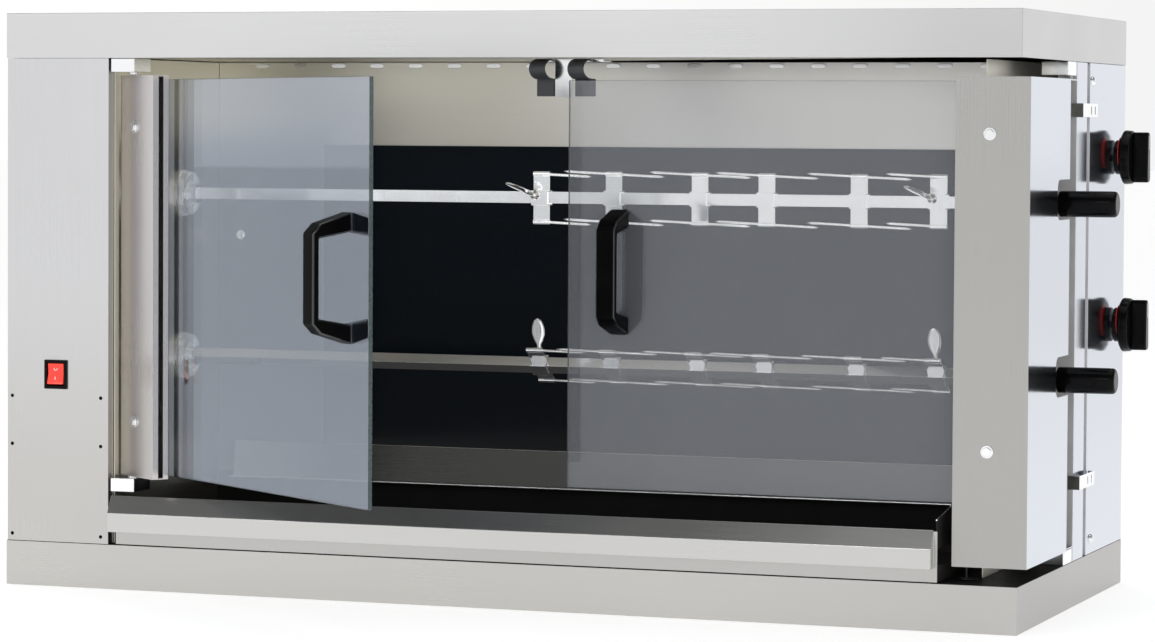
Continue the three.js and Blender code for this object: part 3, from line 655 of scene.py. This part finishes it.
# The end forks' wires point inward only, so their outer side is short
WIRE_REACH = 56
WIRE_STUB = 9
# Lets neighbouring forks' wires pass over each other
WIRE_TILT = 0.045
ROLLED_EDGE = [(-9, 0), (-9, 2.3), (-8.7, 2.6), (8.7, 2.6), (9, 2.3), (9, 0)]


def make_fork(level, index):
    """Folded sleeve on the bar, two plates, rolled edges and two pointed wires."""
    node = f"fork_{level}_{index}"
    low = corners(node)[0]
    left = WIRE_STUB if index == 1 else WIRE_REACH
    right = WIRE_STUB if index == 6 else WIRE_REACH
    x = low.x + left * MM
    z = middle(node).z if level == "upper" else middle("spit_bar_lower").z
    place = Matrix.Translation((x, SPIT_Y, z))
    place = place @ Matrix.Rotation(LOWER_TURN if level == "lower" else 0, 4, "X")
    body = f"{level}_spit"
    if index in (1, 6):
        body = f"{level}_{'left' if index == 1 else 'right'}_fork"
    # Painted glow on the upper spit's forks; a faint painted glow on the lower spit's.
    plate = "chrome_painted_glow" if level == "upper" else "chrome"

    bm = bmesh.new()
    for side in (-1, 1):
        inner, outer = sorted((side * 6.4, side * 7.8))
        slab(bm, (-9, inner, -7.8), (9, outer, 7.8))
        slab(bm, (-9, -6.5, inner), (9, 6.5, outer))
        near, far = sorted((side * 7.3, side * 24.4))
        slab(bm, (-9, -0.75, near), (9, 0.75, far))
    piece(f"fork_clip_{level}_{index}", bm, plate, body, [node], place, 0.35)

    bm = bmesh.new()
    wire = [
        (-left, 0), (-left + 5, 1.15), (-left + 7, 1.4), (right - 7, 1.4), (right - 5, 1.15),
        (right, 0),
    ]
    for side in (-1, 1):
        edge = Matrix.Translation((0, 0, side * 25 * MM))
        lathe(bm, ROLLED_EDGE, edge @ ALONG_X, sides=20)
        lathe(bm, wire, edge @ Matrix.Rotation(WIRE_TILT, 4, "Y") @ ALONG_X, sides=14)
    piece(f"fork_wires_{level}_{index}", bm, plate, body, (), place)
    if index in (1, 6):
        make_thumb_screw(level, index, place.to_translation(), body)


THUMB_SCREW_SHANK = [
    (7.0, 0), (7.0, 4.6), (7.4, 5), (11.4, 5), (11.8, 4.6), (11.8, 2.4), (21, 2.4), (22, 0)]
SPOON_NECK, SPOON_TIP = 18.0, 49.0
SPOON_STEPS = 16
SPOON_SIDES = 20


def make_thumb_screw(level, index, centre, body):
    """Screw with a flattened spoon-shaped head, forward on the upper spit, upright on the lower."""
    if level == "upper":
        aim = Matrix.Rotation(math.radians(-32), 4, "Z") @ Matrix.Rotation(math.radians(71), 4, "X")
    else:
        aim = Matrix.Rotation(math.radians(-5), 4, "Y")
    bm = bmesh.new()
    lathe(bm, THUMB_SCREW_SHANK, sides=24)
    rings = []
    for i in range(SPOON_STEPS + 1):
        t = i / SPOON_STEPS
        along = SPOON_NECK + (SPOON_TIP - SPOON_NECK) * t
        wide = 2.6 + 4.6 * math.sin(math.pi * min(1, max(0, (t - 0.12) / 0.88))) ** 0.8
        thick = 2.5 - 1.1 * t
        if t == 1:
            wide, thick = 0.5, 0.3
        angles = [2 * math.pi * k / SPOON_SIDES for k in range(SPOON_SIDES)]
        rings.append([
            bm.verts.new((wide * MM * math.cos(a), thick * MM * math.sin(a), along * MM))
            for a in angles
        ])
    for one, two in zip(rings, rings[1:]):
        for k in range(SPOON_SIDES):
            j = (k + 1) % SPOON_SIDES
            bm.faces.new((one[k], one[j], two[j], two[k]))
    bm.faces.new(rings[0])
    bm.faces.new(rings[-1])
    piece(
        f"thumb_screw_{level}_{index}", bm, "chrome", body, (),
        Matrix.Translation(centre) @ aim)


for level in ("upper", "lower"):
    make_knob(level)
    make_spit_grip(level)
    make_bearing(level)
    for index in range(1, 7):
        make_fork(level, index)

# ---------------------------------------------------------------- bolts and screws


def hex_bolt(name, at, body):
    """Low hexagon head on a washer; the left door's heads pass close to the control panel."""
    bm = bmesh.new()
    lathe(bm, [(0, 0), (0, 6.4), (0.9, 6.4), (1.1, 6.0), (1.1, 0)], sides=36)
    angles = [math.radians(60 * i + 20) for i in range(6)]
    prism(bm, [(5 * math.cos(a), 5 * math.sin(a)) for a in angles], 1.0, 3.2)
    piece(name, bm, "bright", body, (), at, 0.4)


def round_screw(name, at, radius, height, look="bright"):
    """Domed screw head on the casing."""
    bm = bmesh.new()
    dome = [(height * math.sin(a), radius * math.cos(a)) for a in (0, 0.35, 0.7, 1.05, 1.3)]
    lathe(bm, [(0, 0)] + dome + [(height, 0)], sides=32)
    piece(name, bm, look, "oven", (), at)


hinge = next(j for j in frame["joints"] if j["name"] == "left_door_hinge")
left_pivot = Vector((*hinge["pos_m"][:2], 0))
right_stile_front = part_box("right_door_frame")[0][1]
for tag, z in (("upper", 0.4815), ("lower", 0.1755)):
    point = left_pivot + LEFT_DOOR_TURN @ Vector((0.021, -0.010, 0)) + Vector((0, 0, z))
    hex_bolt(f"stile_bolt_left_{tag}", facing(point, LEFT_DOOR_TURN), "left_door")
    point = Vector((0.509, right_stile_front, z - 0.0015))
    hex_bolt(f"stile_bolt_right_{tag}", facing(point), "right_door")

side_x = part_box("base_plinth")[1][0]
FACING_RIGHT = Matrix.Rotation(math.radians(90), 4, "Y")
for tag, y, z in (("upper", 0.072, 0.534), ("lower", 0.083, 0.062)):
    round_screw(f"side_screw_{tag}", Matrix.Translation((side_x, y, z)) @ FACING_RIGHT, 5.0, 3.4)

back_wall_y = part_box("cavity_back_wall")[0][1]
# The cavity screw takes the chrome with a painted glow.
round_screw(
    "cavity_screw", facing(Vector((-0.3974, back_wall_y, 0.3635))), 5.5, 2.6, "chrome_painted_glow")

back_low, back_high = corners("back_cover")
FACING_BACK = Matrix.Rotation(math.radians(-90), 4, "X")
BACK_SCREW_GAPS = 4
SIDE_MARGIN, END_MARGIN = 0.015, 0.012
for i in range(BACK_SCREW_GAPS + 1):
    for tag, z in (("top", back_high.z - END_MARGIN), ("bottom", back_low.z + END_MARGIN)):
        span = back_high.x - back_low.x - 2 * SIDE_MARGIN
        x = back_low.x + SIDE_MARGIN + span * i / BACK_SCREW_GAPS
        at = Matrix.Translation((x, back_high.y, z)) @ FACING_BACK
        round_screw(f"back_screw_{tag}_{i + 1}", at, 3.6, 2.0)

# ---------------------------------------------------------------- lining and tray details

# Bright pressed vent lips along the top of the cavity's back wall
VENTS, VENT_PITCH, MIDDLE_VENT_X = 19, 0.0453, 0.0369
wall_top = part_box("cavity_back_wall")[1][2]
lip = [
    (side * (4.5 + 3.6 * math.cos(angle)), side * 2.5 * math.sin(angle))
    for side in (1, -1)
    for angle in (-math.pi / 2 + math.pi * k / 8 for k in range(9))
]
for i in range(VENTS):
    x = MIDDLE_VENT_X + (i - VENTS // 2) * VENT_PITCH
    bm = bmesh.new()
    prism(bm, lip, 0.0, 1.4)
    piece(f"vent_lip_{i + 1}", bm, "bright", "oven", (),
          facing(Vector((x, back_wall_y, wall_top - 0.0036))), 0.4)

# Painted shade: a dark plate over the cavity's back wall, below the reflector, where the wall lies
# in shade
low, high = corners("cavity_back_wall")
reflector_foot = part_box("lower_reflector")[0][2]
bm = bmesh.new()
slab(bm, (low.x / MM + 0.4, -2.0, low.z / MM + 0.6),
     (high.x / MM - 0.4, -0.6, reflector_foot / MM + 6))
piece("back_plate_painted_shade", bm, "dark_deck", "oven", (),
      Matrix.Translation((0, low.y, 0)), 0.3)


def rod(bm, length, radius, sides):
    """Round rod along local Z, in mm."""
    lathe(bm, [(0, 0), (0, radius), (length, radius), (length, 0)], sides=sides)


# Bright rolled hem along the foot of the lower reflector
low, high = corners("lower_reflector")
bm = bmesh.new()
rod(bm, (high.x - low.x) / MM, 1.5, sides=16)
piece("reflector_hem", bm, "bright", "oven", (),
      Matrix.Translation((low.x, low.y - 0.0012, low.z + 0.001)) @ ALONG_X)

# Raised cheek with a bright hem at the tray's right end: places (y, z) in mm
CHEEK_FRONT, CHEEK_BACK = (-231, 106.9), (-160, 118.4)
CHEEK_FOOT = 80
tray_high = corners("drip_tray")[1]
cheek = [(CHEEK_FRONT[0], CHEEK_FOOT), (CHEEK_BACK[0], CHEEK_FOOT), CHEEK_BACK, CHEEK_FRONT]
bm = bmesh.new()
prism(bm, cheek, tray_high.x / MM - 2.4, tray_high.x / MM - 1.5, ALONG_X)
# Painted shade: the cheek takes the tray's near-black steel.
piece("tray_cheek", bm, "tray_inside", "drip_tray")
rise = math.atan2(CHEEK_BACK[1] - CHEEK_FRONT[1], CHEEK_BACK[0] - CHEEK_FRONT[0])
bm = bmesh.new()
rod(bm, 71.9, 0.8, sides=12)
piece("tray_cheek_hem", bm, "bright", "drip_tray", (),
      Matrix.Translation((tray_high.x - 0.00195, -0.231, 0.1075))
      @ Matrix.Rotation(rise, 4, "X") @ FACING_BACK)

# Stop pin with an oval washer on the deck, right of the drip tray
deck_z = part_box("base_plinth")[1][2]
front_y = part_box("base_plinth")[0][1]
bm = bmesh.new()
lathe(bm, [(0, 0), (0, 11), (0.8, 11.4), (1.6, 11), (1.6, 1.3), (14.6, 1.3), (15.2, 0.9),
           (15.2, 0)], sides=32)
piece("deck_stop_pin", bm, "dark_steel", "oven", (),
      Matrix.Translation((0.482, front_y + 0.046, deck_z)) @ Matrix.Diagonal((1, 0.7, 1, 1)), 0.15)

# Pin collars between the left hinge blocks and the door
for tag, side, offset in (("upper", 0, -0.0012), ("lower", 1, 0.001)):
    z = corners(f"hinge_block_left_{tag}")[side].z
    bm = bmesh.new()
    ring(bm, -0.9, 0.9, 4.0, 6.5)
    piece(f"hinge_washer_left_{tag}", bm, "bright", "oven", (),
          Matrix.Translation((left_pivot.x, left_pivot.y, z + offset)))

# ---------------------------------------------------------------- rocker marks

rocker_tilt = Matrix.Rotation(math.radians(-6), 4, "X")
rocker_axis = Vector(next(j for j in frame["joints"] if j["name"] == "rocker_tilt")["pos_m"])
rocker_slope = math.atan2(2.0, 11)


def on_rocker(side):
    """Matrix on the rocker's upper face (side 1) or lower face (side -1)."""
    place = Matrix.Translation((0, -0.00552, side * 0.0056))
    place = place @ Matrix.Rotation(-side * rocker_slope, 4, "X")
    return Matrix.Translation(rocker_axis) @ rocker_tilt @ place @ FACING_FRONT


bm = bmesh.new()
ring(bm, -0.1, 0.16, 1.5, 2.3)
piece("switch_mark_off", bm, "white_mark", "rocker", (), on_rocker(1))
bm = bmesh.new()
slab(bm, (-0.5, -2.6, -0.1), (0.5, 2.6, 0.16))
piece("switch_mark_on", bm, "white_mark", "rocker", (), on_rocker(-1))

# ---------------------------------------------------------------- stage, light and camera

FLOOR_REACH = 40
# The floor lies this far under the base, so the two never share a plane
FLOOR_DROP = 0.0004


def stage_floor():
    """Pale floor that runs out to the horizon on all sides."""
    bm = bmesh.new()
    bm.faces.new([
        bm.verts.new((x * FLOOR_REACH, y * FLOOR_REACH, -FLOOR_DROP))
        for x, y in ((-1, -1), (1, -1), (1, 1), (-1, 1))
    ])
    mesh = bpy.data.meshes.new("studio_floor")
    bm.to_mesh(mesh)
    bm.free()
    obj = bpy.data.objects.new("studio_floor", mesh)
    scene.collection.objects.link(obj)
    material = new_material(
        "pale_floor", Roughness=0.75, Emission_Color=(1, 1, 1, 1), Emission_Strength=0.60)
    tone = spread(material, noise(material, 0.8), 0, 1)
    link(material, mix_colours(material, tone, (0.86,) * 3, (0.88,) * 3), "Base Color")
    mesh.materials.append(material)


def soft_light(name, place, target, size, power):
    data = bpy.data.lights.new(name, "AREA")
    data.shape = "RECTANGLE"
    data.size, data.size_y = size
    data.energy = power
    obj = bpy.data.objects.new(name, data)
    obj.location = place
    aim = Vector(target) - Vector(place)
    obj.rotation_euler = aim.to_track_quat("-Z", "Y").to_euler()
    obj.visible_camera = False
    scene.collection.objects.link(obj)


def graded(tree, value, stops):
    """Grey read off a ramp of (place, grey) stops."""
    node = tree.nodes.new("ShaderNodeValToRGB")
    elements = node.color_ramp.elements
    for element, (place, grey) in zip(list(elements), (stops[0], stops[-1])):
        element.position, element.color = place, (grey, grey, grey, 1)
    for place, grey in stops[1:-1]:
        elements.new(place).color = (grey, grey, grey, 1)
    tree.links.new(value, node.inputs["Fac"])
    return node.outputs["Color"]


def studio_world():
    """White round the horizon, dark grey overhead, brighter on the left than on the right."""
    world = bpy.data.worlds.new("studio")
    scene.world = world
    world.use_nodes = True
    tree = world.node_tree
    back = tree.nodes["Background"]
    coords = tree.nodes.new("ShaderNodeTexCoord")
    split = tree.nodes.new("ShaderNodeSeparateXYZ")
    tree.links.new(coords.outputs["Generated"], split.inputs["Vector"])
    height = graded(tree, split.outputs["Z"], [
        (0.0, 1.05), (0.18, 1.05), (0.42, 0.68), (0.62, 0.20), (0.80, 0.16), (0.92, 0.45),
        (1.0, 0.55),
    ])
    tree.links.new(height, back.inputs["Color"])
    across = tree.nodes.new("ShaderNodeMapRange")
    across.inputs["From Min"].default_value = -1.0
    tree.links.new(split.outputs["X"], across.inputs["Value"])
    strength = graded(tree, across.outputs["Result"], [
        (0.0, 1.2), (0.12, 1.0), (0.25, 1.0), (0.40, 0.86), (0.50, 0.86), (0.575, 1.03),
        (0.75, 0.95), (1.0, 0.62),
    ])
    tree.links.new(strength, back.inputs["Strength"])


def studio_camera():
    """Long lens, a little right of the front and above, looking slightly down."""
    yaw, pitch, roll = (math.radians(angle) for angle in (20.067, -2.047, 0.321))
    data = bpy.data.cameras.new("camera")
    data.sensor_width = 36
    data.lens = 120.33
    data.shift_y = -0.05
    data.clip_start, data.clip_end = 0.1, 100
    obj = bpy.data.objects.new("camera", data)
    turn = Matrix.Rotation(yaw, 4, "Z") @ Matrix.Rotation(math.radians(90) + pitch, 4, "X")
    turn = turn @ Matrix.Rotation(roll, 4, "Z")
    obj.matrix_world = Matrix.Translation((1.4095, -3.835, 0.486)) @ turn
    scene.collection.objects.link(obj)
    scene.camera = obj


stage_floor()
studio_world()
soft_light("top_light", (0.2, 0.2, 3.4), (0, 0, 0.2), (4.0, 2.6), 26)
soft_light("strip_light", (-1.3, -3.8, 1.9), (0, 0, 0.3), (2.4, 0.25), 14)
scene.view_settings.view_transform = "Standard"
studio_camera()
